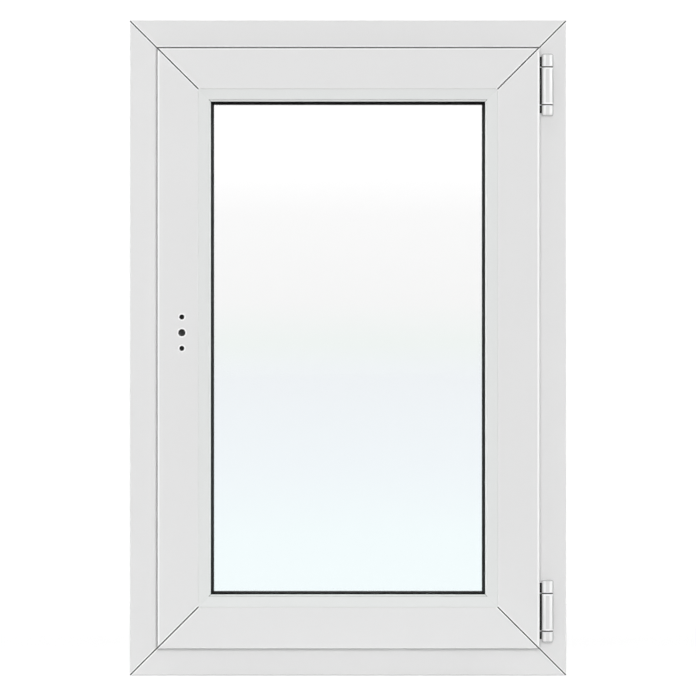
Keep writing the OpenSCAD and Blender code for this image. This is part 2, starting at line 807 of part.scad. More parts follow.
// Windows in the lock rail that the pinion's teeth enter; they narrow towards the faceplate
module rack_windows() {
    half_in = tooth_pitch / 2 - 0.6;
    half_out = tooth_pitch / 2 - 1.05;
    x_out = rail_d - backset - 0.5;
    x_in = rail_d + rail_t - backset + 0.5;
    for (k = [-5:1]) at_spindle()
        across(groove_y - rack_window_w / 2, groove_y + rack_window_w / 2) translate([0, k * tooth_pitch])
            polygon([[x_out, -half_out], [x_in, -half_in], [x_in, half_in], [x_out, half_out]]);
}

module lock_rail() {
    color(zinc) difference() {
        rail("lock", stroke - lock_half, lock_half);
        rack_windows();
    }
}

module top_rail() {
    color(zinc) rail("top", 60, window_w / 2 - sash_rebate - corner_leg - 2);
}

module bottom_rail() {
    color(zinc) rail("bottom", sash_rebate + corner_leg + 2 + stroke - window_w / 2, -60);
}

// Locking cam: its shank is riveted in the rail and its head stands in the gap between sash and frame
module cam(side, x) {
    shank_u = sash_rebate + rail_d + rail_t;
    on_side(side) translate([x, groove_y, 0]) {
        translate([0, 0, cam_top_u]) cylinder(h = shank_u - cam_top_u, r = cam_shank_r);
        translate([0, 0, cam_top_u]) cylinder(h = 3.4, r = cam_r);
    }
}

module lock_cams() {
    color(steel) for (x = cams_on("lock")) cam("lock", x);
}

module top_cam() { color(steel) cam("top", cams_on("top")[0]); }

module bottom_cam() { color(steel) cam("bottom", cams_on("bottom")[0]); }

// The band's path round a corner, drawn from the sash's rebate corner, w wide
module band_path(w) {
    d = rail_d + rail_t / 2;
    c = d + band_r;
    rectangle([d - w / 2, c], [d + w / 2, corner_leg]);
    rectangle([c, d - w / 2], [corner_leg, d + w / 2]);
    intersection() {
        translate([c, c]) difference() {
            circle(band_r + w / 2);
            circle(band_r - w / 2);
        }
        rectangle([0, 0], [c, c]);
    }
}

// Puts a shape drawn from the sash's rebate corner in the upper and the lower lock-side corner
module at_lock_corners() {
    x = sash_rebate - window_w / 2;
    from_room_face() {
        translate([x, 0, sash_rebate]) children();
        translate([x, 0, window_h - sash_rebate]) mirror([0, 0, 1]) children();
    }
}

module corner_guides() {
    low = step_d - 0.1;
    high = groove_d - 0.2;
    color(zinc) at_lock_corners() difference() {
        across(groove_y - 5.6, groove_y + 5.6) {
            rectangle([low, low], [high, corner_leg]);
            rectangle([low, low], [corner_leg, high]);
        }
        across(groove_y - 4.7, groove_y + 4.7) band_path(band_t + 0.4);
    }
}

module corner_bands() {
    color(steel) at_lock_corners() across(groove_y - 4.5, groove_y + 4.5) band_path(band_t);
}

// ---- Parts ------------------------------------------------------------------

frame_sill();
frame_head();
frame_lock_jamb();
frame_hinge_jamb();
frame_sill_steel();
frame_head_steel();
frame_lock_steel();
frame_hinge_steel();
frame_steel_screws();
frame_stop_seal();
keeps();
keep_screws();
drain_caps();
upper_hinge_frame_leaf();
lower_hinge_frame_leaf();
hinge_frame_screws();
upper_hinge_pin();
lower_hinge_pin();
sash_bottom_rail();
sash_top_rail();
sash_lock_stile();
sash_hinge_stile();
sash_bottom_steel();
sash_top_steel();
sash_lock_steel();
sash_hinge_steel();
sash_steel_screws();
sash_overlap_seal();
bead_bottom();
bead_top();
bead_lock();
bead_hinge();
bead_gasket();
outer_glazing_gasket();
inner_pane();
outer_pane();
spacer_bar();
edge_sealant();
setting_blocks();
upper_hinge_sash_leaf();
lower_hinge_sash_leaf();
hinge_sash_screws();
hinge_bushes();
hinge_caps();
gear_case_room();
gear_case_weather();
gear_rivets();
lock_faceplate();
top_faceplate();
bottom_faceplate();
faceplate_screws();
corner_guides();
corner_bands();
spindle_hub();
lock_rail();
lock_cams();
top_rail();
top_cam();
bottom_rail();
bottom_cam();
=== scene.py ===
import json
from math import cos, pi, radians, sin

import bmesh
import bpy
from mathutils import Matrix, Vector


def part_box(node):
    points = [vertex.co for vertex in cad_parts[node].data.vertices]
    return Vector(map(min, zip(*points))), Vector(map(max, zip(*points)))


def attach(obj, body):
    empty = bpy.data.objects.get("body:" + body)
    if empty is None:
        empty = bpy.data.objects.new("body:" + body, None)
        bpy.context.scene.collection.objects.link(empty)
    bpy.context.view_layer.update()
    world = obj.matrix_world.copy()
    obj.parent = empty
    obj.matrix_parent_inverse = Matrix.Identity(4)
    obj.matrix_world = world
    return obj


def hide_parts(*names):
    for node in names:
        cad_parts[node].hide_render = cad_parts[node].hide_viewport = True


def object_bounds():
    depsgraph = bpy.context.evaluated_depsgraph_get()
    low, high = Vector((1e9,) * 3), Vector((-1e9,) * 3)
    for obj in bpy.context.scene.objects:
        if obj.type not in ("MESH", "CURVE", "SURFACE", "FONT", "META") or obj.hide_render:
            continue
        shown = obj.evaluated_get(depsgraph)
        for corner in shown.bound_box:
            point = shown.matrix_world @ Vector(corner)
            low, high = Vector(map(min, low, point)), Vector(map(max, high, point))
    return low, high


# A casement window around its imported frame. Metres: X along the width, Z up, -Y towards the room.

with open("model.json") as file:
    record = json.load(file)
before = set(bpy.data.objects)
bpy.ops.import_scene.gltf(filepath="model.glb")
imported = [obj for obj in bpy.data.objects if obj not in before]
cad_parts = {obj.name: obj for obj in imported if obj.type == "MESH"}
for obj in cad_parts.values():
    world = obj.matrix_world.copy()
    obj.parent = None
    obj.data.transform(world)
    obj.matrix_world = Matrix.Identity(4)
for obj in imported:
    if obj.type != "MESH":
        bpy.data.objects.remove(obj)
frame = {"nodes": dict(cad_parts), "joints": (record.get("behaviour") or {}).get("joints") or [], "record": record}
cad_low, cad_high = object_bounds()
record = frame["record"]
nodes = frame["nodes"]

MM = 0.001
CENTRE = (cad_low + cad_high) / 2
HALF_WIDTH = (cad_high.x - cad_low.x) / 2
HALF_HEIGHT = (cad_high.z - cad_low.z) / 2

# Distances from the frame's outer edge, and faces along Y, all read from the frame
FRAME_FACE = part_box("frame_sill")[0].y
SASH_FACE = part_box("sash_bottom_rail")[0].y
SASH_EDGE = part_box("sash_bottom_rail")[0].z
GLASS_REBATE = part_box("setting_blocks")[0].z
BEAD_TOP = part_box("bead_bottom")[1].z


def mount(name):
    """The record's mount of that name."""
    return next(m for m in record["mounts"] if m["name"] == name)


def joint(name):
    """The frame's joint of that name."""
    return next(j for j in frame["joints"] if j["name"] == name)


# ---- Shader nodes -----------------------------------------------------------

class Shader:
    """A node material with short calls that add nodes. An input is a number, a tuple or a node's socket."""

    def __init__(self, name):
        self.material = bpy.data.materials.new(name)
        self.material.use_nodes = True
        self.tree = self.material.node_tree
        self.surface = self.tree.nodes["Principled BSDF"]
        self.place = self.add("ShaderNodeTexCoord").outputs["Object"]
        axes = self.add("ShaderNodeSeparateXYZ", self.place)
        self.x, self.y, self.z = (axes.outputs[i] for i in range(3))

    def add(self, kind, *inputs, **settings):
        """A new node with its settings and its first inputs."""
        node = self.tree.nodes.new(kind)
        for name, value in settings.items():
            setattr(node, name, value)
        for socket, value in zip(node.inputs, inputs):
            self.put(socket, value)
        return node

    def put(self, socket, value):
        """Links a socket to another one, or sets its value."""
        if isinstance(value, bpy.types.NodeSocket):
            self.tree.links.new(value, socket)
        elif value is not None:
            socket.default_value = value

    def math(self, operation, a, b=None):
        return self.add("ShaderNodeMath", a, b, operation=operation).outputs[0]

    def ramp(self, value, low, high):
        """0 below low and 1 above high, smooth between them; the other way round where low is above high."""
        node = self.add("ShaderNodeMapRange", value, low, high, interpolation_type="SMOOTHSTEP")
        return node.outputs["Result"]

    def band(self, value, centre, half, soft):
        """1 within half of centre, falling to 0 over soft."""
        away = self.math("ABSOLUTE", self.math("SUBTRACT", value, centre))
        return self.ramp(away, half + soft, half)

    def distance(self, a, b):
        """The length of two offsets at right angles."""
        return self.math("SQRT", self.math("ADD", self.math("MULTIPLY", a, a), self.math("MULTIPLY", b, b)))

    def product(self, *factors):
        result = factors[0]
        for factor in factors[1:]:
            result = self.math("MULTIPLY", result, factor)
        return result

    def mix(self, a, b, factor):
        node = self.add("ShaderNodeMix", data_type="RGBA")
        for socket, value in ((node.inputs[0], factor), (node.inputs[6], a), (node.inputs[7], b)):
            self.put(socket, value)
        return node.outputs[2]

    def vector(self, x, y, z):
        return self.add("ShaderNodeCombineXYZ", x, y, z).outputs[0]

    def stretch(self, vector, scale):
        return self.add("ShaderNodeVectorMath", vector, scale, operation="MULTIPLY").outputs[0]

    def noise(self, vector, scale, detail=3.0, roughness=0.5):
        node = self.add("ShaderNodeTexNoise")
        settings = {"Vector": vector, "Scale": scale, "Detail": detail, "Roughness": roughness}
        for name, value in settings.items():
            self.put(node.inputs[name], value)
        return node.outputs["Fac"]

    def cells(self, vector, scale):
        """A random colour for each cell of a Voronoi pattern."""
        node = self.add("ShaderNodeTexVoronoi")
        self.put(node.inputs["Vector"], vector)
        self.put(node.inputs["Scale"], scale)
        return node.outputs["Color"]

    def span(self, value, low, high):
        """A 0 to 1 value spread from low to high."""
        return self.add("ShaderNodeMapRange", value, 0.0, 1.0, low, high).outputs["Result"]

    def span_from(self, value, low, high):
        """Where value lies between low and high, from 0 to 1."""
        return self.add("ShaderNodeMapRange", value, low, high).outputs["Result"]

    def gradient(self, value, stops):
        """The colour at value between stops of (place, colour)."""
        node = self.add("ShaderNodeValToRGB", value)
        elements = node.color_ramp.elements
        while len(elements) < len(stops):
            elements.new(0.5)
        for element, (place, colour) in zip(elements, stops):
            element.position = place
            element.color = colour
        return node.outputs["Color"]

    def bump(self, height, distance, normal=None):
        node = self.add("ShaderNodeBump")
        for name, value in (("Height", height), ("Distance", distance), ("Normal", normal)):
            self.put(node.inputs[name], value)
        return node.outputs["Normal"]

    def normal(self):
        """The surface normal's three parts."""
        normal = self.add("ShaderNodeNewGeometry").outputs["Normal"]
        return self.add("ShaderNodeSeparateXYZ", normal).outputs[:3]

    def upward(self):
        """1 on faces that look up, where dust settles."""
        return self.ramp(self.normal()[2], 0.6, 0.95)

    def finish(self, **values):
        """Sets the surface's inputs by name, with _ for a space."""
        for name, value in values.items():
            self.put(self.surface.inputs[name.replace("_", " ")], value)
        return self.material


DUST = (0.42, 0.40, 0.37, 1.0)
# Near-black for dirt together with painted shade in grooves and along steps
DIRT_AND_SHADE = (0.035, 0.035, 0.035, 1.0)


def grey(value):
    return (value, value, value, 1.0)


# ---- White plastic ------------------------------------------------------------

# How far the dark core of a corner weld, dirt and painted shade, and the painted highlight beside it reach from
# the mitre
WELD_CORE = 0.85 * MM
WELD_HIGHLIGHT = 2.3 * MM

# How high the extrusion die's lines stand, how wide the painted highlight ring round a drilled hole is, and how
# wide the beads' nose is
DIE_DEPTH = 0.006 * MM
RIM_HIGHLIGHT_WIDTH = 1.7 * MM
NOSE_WIDTH = 2.4 * MM

# Painted highlight and shade lines along the sash's outer edge and the frame face beside it, different on each
# side as light falls there: millimetres from the edge, half width, tone and strength
EDGE_HIGHLIGHTS_AND_SHADE = {
    "bottom": [(0.6, 0.4, 0.04, 0.22), (2.2, 0.6, 0.93, 0.5)],
    "top": [(-1.6, 0.9, 1.0, 1.0), (0.95, 0.65, 0.01, 0.98), (3.0, 0.8, 0.92, 0.9)],
    "left": [(-1.5, 0.8, 0.9, 0.6), (1.1, 0.6, 0.03, 0.8), (3.1, 0.9, 1.0, 1.0)],
    "right": [(2.0, 0.9, 0.98, 0.95)],
}


class Profile(Shader):
    """A shader that knows a point's place on the mitred profiles: across, along and from the mitre."""

    def __init__(self, name):
        super().__init__(name)
        self.from_side = self.math("SUBTRACT", HALF_WIDTH, self.math("ABSOLUTE", self.x))
        height = self.math("SUBTRACT", self.z, CENTRE.z)
        self.from_end = self.math("SUBTRACT", HALF_HEIGHT, self.math("ABSOLUTE", height))
        self.across = self.math("MINIMUM", self.from_side, self.from_end)
        self.along = self.math("MAXIMUM", self.from_side, self.from_end)
        gap = self.math("ABSOLUTE", self.math("SUBTRACT", self.from_side, self.from_end))
        self.from_mitre = self.math("MULTIPLY", gap, cos(pi / 4))
        self.level = self.math("LESS_THAN", self.from_end, self.from_side)
        self.upper = self.math("GREATER_THAN", height, 0.0)
        self.left = self.math("LESS_THAN", self.x, 0.0)

    def on_side(self, side):
        """1 on one of the four lengths."""
        upright = self.math("SUBTRACT", 1.0, self.level)
        lower = self.math("SUBTRACT", 1.0, self.upper)
        right = self.math("SUBTRACT", 1.0, self.left)
        places = {"bottom": (self.level, lower), "top": (self.level, self.upper),
                  "left": (upright, self.left), "right": (upright, right)}
        return self.product(*places[side])

    def die_lines(self):
        """Fine lines that the extrusion die leaves along a profile."""
        place = self.vector(self.across, self.y, self.along)
        return self.noise(self.stretch(place, (1.0, 1.0, 0.004)), 1400.0, 2.0)

    def dusty(self, colour, strength):
        """The colour with patches of dust on the faces that look up."""
        patchy = self.ramp(self.noise(self.place, 45.0, 4.0), 0.42, 0.68)
        return self.mix(colour, DUST, self.product(self.upward(), patchy, strength))

    def satin(self):
        """The plastic's roughness, in slow clouds."""
        return self.span(self.noise(self.place, 30.0, 3.0), 0.30, 0.38)


def upvc():
    """Satin white uPVC: trimmed corner welds with a painted highlight on each lip and dirt and painted shade in
    the core, painted highlight and shade lines round the sash, and painted highlight rings round the deburred
    handle holes.
    """
    s = Profile("white_upvc")
    room_side = s.ramp(s.y, FRAME_FACE + 2 * MM, FRAME_FACE + 1 * MM)
    colour = s.mix(grey(0.79), grey(0.815), s.noise(s.place, 6.0, 3.0))
    # Painted highlight on the lips beside each corner weld
    lip = s.ramp(s.from_mitre, WELD_HIGHLIGHT + 0.1 * MM, WELD_HIGHLIGHT - 0.2 * MM)
    colour = s.mix(colour, grey(1.0), s.product(lip, room_side))
    # Dirt and painted shade in the core of each corner weld's groove
    core = s.ramp(s.from_mitre, WELD_CORE + 0.15 * MM, WELD_CORE - 0.1 * MM)
    # Painted highlight and shade lines round the sash's edge, different on each side
    for side, line in EDGE_HIGHLIGHTS_AND_SHADE.items():
        here = s.on_side(side)
        for centre, half, tone, strength in line:
            band = s.band(s.across, SASH_EDGE + centre * MM, half * MM, 0.35 * MM)
            colour = s.mix(colour, grey(tone), s.product(band, here, room_side, strength))
    # Painted highlight rings round the handle holes
    colour = s.mix(colour, grey(1.0), hole_rim_highlights(s))
    colour = s.mix(colour, DIRT_AND_SHADE, s.product(core, s.span(room_side, 0.25, 0.95)))
    colour = s.dusty(colour, 0.18)
    peel = s.bump(s.noise(s.place, 160.0, 2.0), 0.02 * MM)
    skin = s.bump(s.die_lines(), DIE_DEPTH, peel)
    return s.finish(Base_Color=colour, Roughness=s.satin(), IOR=1.52, Normal=skin)


def hole_rim_highlights(s):
    """1 on the painted highlight rings round the handle's drilled holes, where their deburred edges would catch
    light.
    """
    screws = mount("handle_screws")
    spacing = screws["dims"]["spacing_y_mm"] * MM
    holes = [(0.0, mount("spindle_hole")["dims"]["r_mm"] * MM)]
    holes += [(side * spacing / 2, screws["dims"]["hole_r_mm"] * MM) for side in (-1, 1)]
    front = s.ramp(s.y, SASH_FACE + 2 * MM, SASH_FACE + 1 * MM)
    rim_highlights = 0.0
    for rise, radius in holes:
        across = s.math("SUBTRACT", s.x, screws["pos_m"][0])
        up = s.math("SUBTRACT", s.z, screws["pos_m"][2] + rise)
        rim = s.ramp(s.distance(across, up), radius + RIM_HIGHLIGHT_WIDTH + 0.4 * MM, radius + RIM_HIGHLIGHT_WIDTH)
        rim_highlights = s.math("ADD", rim_highlights, s.product(rim, front))
    return rim_highlights


def bead_upvc():
    """The beads' plastic, a hair cooler than the profiles', with its mitre showing only on the nose and a painted
    shade line along the step before the nose, stronger on the level beads.
    """
    s = Profile("bead_upvc")
    cloud = s.noise(s.place, 6.0, 3.0)
    colour = s.mix((0.785, 0.800, 0.793, 1.0), (0.808, 0.818, 0.813, 1.0), cloud)
    nose_start = BEAD_TOP - NOSE_WIDTH
    nose = s.ramp(s.across, nose_start - 0.6 * MM, nose_start)
    mitre = s.ramp(s.from_mitre, 0.5 * MM, 0.2 * MM)
    colour = s.mix(colour, DIRT_AND_SHADE, s.product(mitre, s.span(nose, 0.03, 0.75)))
    # Painted shade along the step before the nose, stronger on the level beads
    step = s.band(s.across, nose_start, 0.3 * MM, 0.3 * MM)
    colour = s.mix(colour, DIRT_AND_SHADE, s.product(step, s.span(s.level, 0.04, 0.3)))
    colour = s.dusty(colour, 0.2)
    skin = s.bump(s.die_lines(), DIE_DEPTH)
    return s.finish(Base_Color=colour, Roughness=s.satin(), IOR=1.52, Normal=skin)


def hinge_coating():
    """White powder coat on the barrels, with painted highlights at their joints and down their sides and painted
    shade on their ends, and near-black leaves as painted shade for the gap beside the barrel.
    """
    s = Shader("white_hinge_coating")
    axis = joint("sash_swing")["pos_m"]
    away = s.distance(s.math("SUBTRACT", s.x, axis[0]), s.math("SUBTRACT", s.y, axis[1]))
    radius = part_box("hinge_caps")[1].x - axis[0]
    leaf = s.ramp(away, radius + 0.1 * MM, radius + 0.4 * MM)
    coat = s.mix(grey(0.75), grey(0.77), s.noise(s.place, 60.0))
    # Painted highlights at the knuckles' joints
    for hinge in ("lower", "upper"):
        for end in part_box(hinge + "_hinge_frame_leaf"):
            coat = s.mix(coat, grey(1.0), s.band(s.z, end.z, 2.0 * MM, 0.5 * MM))
    sideways, _, upwards = s.normal()
    # Painted highlight down each side of the barrels
    flank_highlight = s.band(s.math("ABSOLUTE", sideways), 0.53, 0.17, 0.12)
    coat = s.mix(coat, grey(0.95), s.product(flank_highlight, 0.8))
    # Painted shade on the barrels' ends
    ends = s.ramp(s.math("ABSOLUTE", upwards), 0.3, 0.8)
    coat = s.mix(coat, grey(0.6), ends)
    # Near-black leaves, a painted shade for the gap beside the barrel
    dark_leaf_shade = s.mix(grey(0.010), grey(0.022), s.noise(s.place, 90.0))
    rough = s.span(s.noise(s.place, 40.0), 0.12, 0.17)
    peel = s.bump(s.noise(s.place, 900.0, 1.0), 0.012 * MM)
    return s.finish(Base_Color=s.mix(coat, dark_leaf_shade, leaf), Roughness=rough, IOR=1.5, Normal=peel)


# ---- Other materials --------------------------------------------------------------

def rubber(name, dark, pale):
    """Matt rubber with a fine bloom and a little dust."""
    s = Shader(name)
    colour = s.mix(grey(dark), grey(pale), s.noise(s.place, 220.0, 4.0))
    colour = s.mix(colour, DUST, s.product(s.upward(), s.noise(s.place, 70.0, 4.0), 0.12))
    rough = s.span(s.noise(s.place, 90.0), 0.50, 0.68)
    grain = s.bump(s.noise(s.place, 2600.0, 2.0), 0.02 * MM)
    return s.finish(Base_Color=colour, Roughness=rough, Specular_IOR_Level=0.15, Normal=grain)


# Painted reflection: a tint by share of the pane's height from its bottom, clear above and faint blue below,
# standing in for what the glass reflects
GLASS_REFLECTION_TINTS = [
    (0.05, (0.923, 0.962, 0.967, 1.0)),
    (0.13, (0.921, 0.960, 0.965, 1.0)),
    (0.27, (0.911, 0.937, 0.950, 1.0)),
    (0.44, (0.903, 0.920, 0.932, 1.0)),
    (0.51, (0.899, 0.920, 0.912, 1.0)),
    (0.59, (0.926, 0.928, 0.927, 1.0)),
    (0.76, (0.944, 0.944, 0.944, 1.0)),
    (0.87, (0.985, 0.985, 0.985, 1.0)),
]


def glass():
    """Float glass with a painted reflection in its tint, clear above and faint blue below. Lamps shine through it.
    """
    s = Shader("clear_glass")
    low, high = (corner.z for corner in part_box("inner_pane"))
    reflection_tint = s.gradient(s.span_from(s.z, low, high), GLASS_REFLECTION_TINTS)
    material = s.finish(Base_Color=reflection_tint, Roughness=0.0, IOR=1.5, Transmission_Weight=1.0)
    shadow = s.add("ShaderNodeLightPath").outputs["Is Shadow Ray"]
    clear = s.add("ShaderNodeBsdfTransparent", (0.93, 0.96, 0.96, 1.0)).outputs[0]
    both = s.add("ShaderNodeMixShader", shadow, s.surface.outputs[0], clear)
    s.tree.links.new(both.outputs[0], s.tree.nodes["Material Output"].inputs["Surface"])
    return material


def galvanised():
    """Hot-dip zinc with its spangle."""
    s = Shader("galvanised_steel")
    crystal = s.cells(s.place, 170.0)
    tone = s.add("ShaderNodeSeparateColor", crystal).outputs[0]
    colour = s.mix(grey(0.42), grey(0.62), tone)
    return s.finish(Base_Color=colour, Metallic=0.9, Roughness=s.span(tone, 0.32, 0.5))


def plated(name, tone, lengthwise, fine):
    """Plated steel whose rolling marks run along lengthwise, with small scuffs."""
    s = Shader(name)
    marks = s.noise(s.stretch(s.place, lengthwise), fine, 4.0)
    colour = s.mix(grey(tone * 0.86), grey(tone), marks)
    scuff = s.ramp(s.noise(s.place, 130.0, 5.0, 0.65), 0.60, 0.72)
    rough = s.math("ADD", s.span(marks, 0.24, 0.36), s.product(scuff, 0.16))
    return s.finish(Base_Color=colour, Metallic=1.0, Roughness=rough, Normal=s.bump(marks, 0.01 * MM))


# The row of pinholes that lets the spacer's desiccant breathe
PINHOLE_PITCH = 6 * MM
PINHOLE_RADIUS = 0.45 * MM


def spacer():
    """Mill-finish spacer bar with its row of pinholes, painted as near-black dots: painted shade for holes that
    the mesh does not have.
    """
    s = Profile("spacer_aluminium")
    low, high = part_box("spacer_bar")
    marks = s.noise(s.stretch(s.vector(s.across, s.y, s.along), (1.0, 1.0, 0.01)), 1500.0, 3.0)
    colour = s.mix(grey(0.62), grey(0.76), marks)
    step = s.math("SUBTRACT", s.math("FRACT", s.math("DIVIDE", s.along, PINHOLE_PITCH)), 0.5)
    run = s.math("MULTIPLY", step, PINHOLE_PITCH)
    rise = s.math("SUBTRACT", s.y, (low.y + high.y) / 2)
    # Painted shade where each pinhole is
    hole = s.ramp(s.distance(run, rise), PINHOLE_RADIUS + 0.1 * MM, PINHOLE_RADIUS)
    colour = s.mix(colour, grey(0.01), hole)
    return s.finish(Base_Color=colour, Metallic=1.0, Roughness=s.span(marks, 0.30, 0.42))


def casting():
    """Die-cast zinc: dull, with a fine grain and flow marks."""
    s = Shader("zinc_casting")
    flow = s.noise(s.place, 110.0, 5.0, 0.6)
    colour = s.mix(grey(0.40), grey(0.55), flow)
    grain = s.bump(s.noise(s.place, 1800.0, 2.0), 0.03 * MM)
    return s.finish(Base_Color=colour, Metallic=0.85, Roughness=s.span(flow, 0.38, 0.55), Normal=grain)


def moulded(name, low, high):
    """Moulded plastic with a fine eroded texture."""
    s = Shader(name)
    colour = s.mix(low, high, s.noise(s.place, 80.0))
    grain = s.bump(s.noise(s.place, 1500.0, 2.0), 0.02 * MM)
    return s.finish(Base_Color=colour, Roughness=s.span(s.noise(s.place, 50.0), 0.42, 0.55), Normal=grain)


MATERIALS = {
    "white_upvc": upvc(),
    "bead_upvc": bead_upvc(),
    "white_hinge_coating": hinge_coating(),
    "black_gasket": rubber("black_gasket", 0.0015, 0.003),
    "clear_glass": glass(),
    "spacer_aluminium": spacer(),
    "edge_sealant": rubber("edge_sealant", 0.02, 0.03),
    "packer_plastic": moulded("packer_plastic", (0.03, 0.08, 0.25, 1.0), (0.04, 0.10, 0.30, 1.0)),
    "bush_plastic": moulded("bush_plastic", grey(0.012), grey(0.02)),
    "galvanised_steel": galvanised(),
    "silver_coated_steel": plated("silver_coated_steel", 0.66, (1.0, 1.0, 0.02), 900.0),
    "hardened_steel": plated("hardened_steel", 0.56, (1.0, 1.0, 1.0), 700.0),
    "zinc_casting": casting(),
    "zinc_screws": plated("zinc_screws", 0.68, (1.0, 1.0, 1.0), 1200.0),
}
SLOT_OF = {row["node"]: row["material_slot"] for row in record["subparts"]}
BODY_OF = {node: body for body, members in record["behaviour"]["bodies"].items() for node in members}

for name, node in nodes.items():
    for material_slot in node.material_slots:
        material_slot.material = MATERIALS[SLOT_OF[name]]


# ---- Eased edges on the plain plates and castings ------------------------------------

# Width of the eased edge in millimetres, and the nodes that have it
EASED = {
    0.4: ("corner_guides",),
    0.35: ("keeps",),
    0.3: ("drain_caps", "lock_cams", "top_cam", "bottom_cam", "gear_case_room", "gear_case_weather"),
    0.25: ("lock_faceplate", "top_faceplate", "bottom_faceplate"),
    0.2: ("lock_rail", "top_rail", "bottom_rail", "sash_overlap_seal"),
}


def ease_edges(node, width):
    """Joins a node's split corners and bevels its sharp edges."""
    weld = node.modifiers.new("weld", "WELD")
    weld.merge_threshold = 0.002 * MM
    bevel = node.modifiers.new("bevel", "BEVEL")
    bevel.width = width
    bevel.segments = 2
    bevel.limit_method = "ANGLE"
    bevel.angle_limit = radians(40)
    bevel.use_clamp_overlap = True


for width, names in EASED.items():
    for name in names:
        ease_edges(nodes[name], width * MM)


# ---- Pieces that replace plain CAD solids ---------------------------------------------

SMOOTH_ANGLE = radians(35)


def add_piece(name, bm, node):
    """A mesh piece that stands for a CAD node, on its body and in its material slot."""
    bmesh.ops.recalc_face_normals(bm, faces=bm.faces)
    mesh = bpy.data.meshes.new(name)
    bm.to_mesh(mesh)
    bm.free()
    mesh.polygons.foreach_set("use_smooth", [True] * len(mesh.polygons))
    mesh.set_sharp_from_angle(angle=SMOOTH_ANGLE)
    mesh.materials.append(MATERIALS[SLOT_OF[node]])
    piece = bpy.data.objects.new(name, mesh)
    bpy.context.scene.collection.objects.link(piece)
    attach(piece, BODY_OF[node])
    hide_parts(node)


def curve_points(start, first, second, end, count):
    """Points along a cubic curve, without its start."""
    points = []
    for i in range(1, count + 1):
        t = i / count
        weights = ((1 - t) ** 3, 3 * t * (1 - t) ** 2, 3 * t * t * (1 - t), t ** 3)
        pull = list(zip(weights, (start, first, second, end)))
        points.append(tuple(sum(weight * point[k] for weight, point in pull) for k in (0, 1)))
    return points


def add_seal_ring(name, node, section):
    """A seal mitred round the four sides.

    Its section is a loop of places: millimetres behind the frame's face, and millimetres from its edge.
    """
    bm = bmesh.new()
    rings = []
    for side, rise in ((-1, -1), (1, -1), (1, 1), (-1, 1)):
        ring = []
        for depth, inset in section:
            x = side * (HALF_WIDTH - inset * MM)
            z = CENTRE.z + rise * (HALF_HEIGHT - inset * MM)
            ring.append(bm.verts.new((x, FRAME_FACE + depth * MM, z)))
        rings.append(ring)
    count = len(section)
    for here, beyond in zip(rings, rings[1:] + rings[:1]):
        for i in range(count):
            j = (i + 1) % count
            bm.faces.new((here[i], here[j], beyond[j], beyond[i]))
    add_piece(name, bm, node)


def depth_of(y):
    """Millimetres behind the frame's face."""
    return (y - FRAME_FACE) / MM


# In millimetres: how deep the seals' barbs reach into their grooves, and the stop bulb's half sizes
BARB = 2.4
BULB_HALF_HEIGHT = 3.0
BULB_HALF_DEPTH = 1.6


def add_bead_seal():
    """The beads' seal: a lip that curves from the bead's edge on to the glass."""
    top = BEAD_TOP / MM
    glass_face = depth_of(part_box("inner_pane")[0].y)
    beyond_bead = HALF_WIDTH - BEAD_TOP - 3 * MM
    sight_x = max(v.co.x for v in nodes["bead_gasket"].data.vertices if v.co.x < beyond_bead)
    sight = (HALF_WIDTH - sight_x) / MM
    lip = (-2.9, top + 0.5)
    crest = (3.4, sight - 0.05)
    section = [(glass_face, top - 8), (1.0, top - 8), (1.0, top - 6), (-2.95, top - 0.05), lip]
    section += curve_points(lip, (-2.5, top + 1.6), (1.2, sight - 0.2), crest, 9)
    section += curve_points(crest, (4.3, sight), (glass_face, sight - 0.1), (glass_face, sight - 0.7), 4)
    add_seal_ring("bead_seal", "bead_gasket", section)


def add_weather_glazing_seal():
    """The seal between the outer pane and the sash's weather leg, held by a barb in the leg's groove."""
    g = depth_of(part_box("outer_pane")[1].y)
    w = depth_of(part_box("outer_glazing_gasket")[1].y) - BARB
    r = GLASS_REBATE / MM
    section = [(g, r + 9.5), (w, r + 9.5), (w, r + 13.2)]
    section += [(w + 1.9, r + 12.9), (w + BARB, r + 13.7), (w + BARB, r + 15.3), (w + 1.9, r + 15.9)]
    section += [(w, r + 15.7), (w, r + 17.7)]
    section += curve_points((w, r + 17.7), (w, r + 19.1), (w - 1.2, r + 20.2), (g + 1.2, r + 20.3), 7)
    section += curve_points((g + 1.2, r + 20.3), (g + 0.5, r + 20.3), (g, r + 20.0), (g, r + 19.4), 3)
    add_seal_ring("weather_glazing_seal", "outer_glazing_gasket", section)


def add_stop_seal():
    """The frame's stop seal: a flattened bulb on a barbed foot."""
    low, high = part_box("frame_stop_seal")
    back = depth_of(high.y)
    face = back - BARB
    middle = low.z / MM + BULB_HALF_HEIGHT
    section = [(face, middle - 0.9), (back - 0.3, middle - 2.6), (back, middle - 2.1), (back, middle - 0.4),
               (back - 0.3, middle + 0.1), (face, middle + 0.7)]
    for turn in range(25, 336, 15):
        a = radians(turn)
        depth = face - BULB_HALF_DEPTH + BULB_HALF_DEPTH * cos(a)
        section.append((depth, middle + BULB_HALF_HEIGHT * sin(a)))
    add_seal_ring("stop_bulb_seal", "frame_stop_seal", section)


SHANK_RADIUS = 1.9 * MM
THREAD_ROOT = 1.4 * MM
THREAD_PITCH = 1.5 * MM
POINT_TAPER = 3 * MM
RINGS_PER_TURN = 6
TURN_SEGMENTS = 16
CROSS_CORNERS = 12


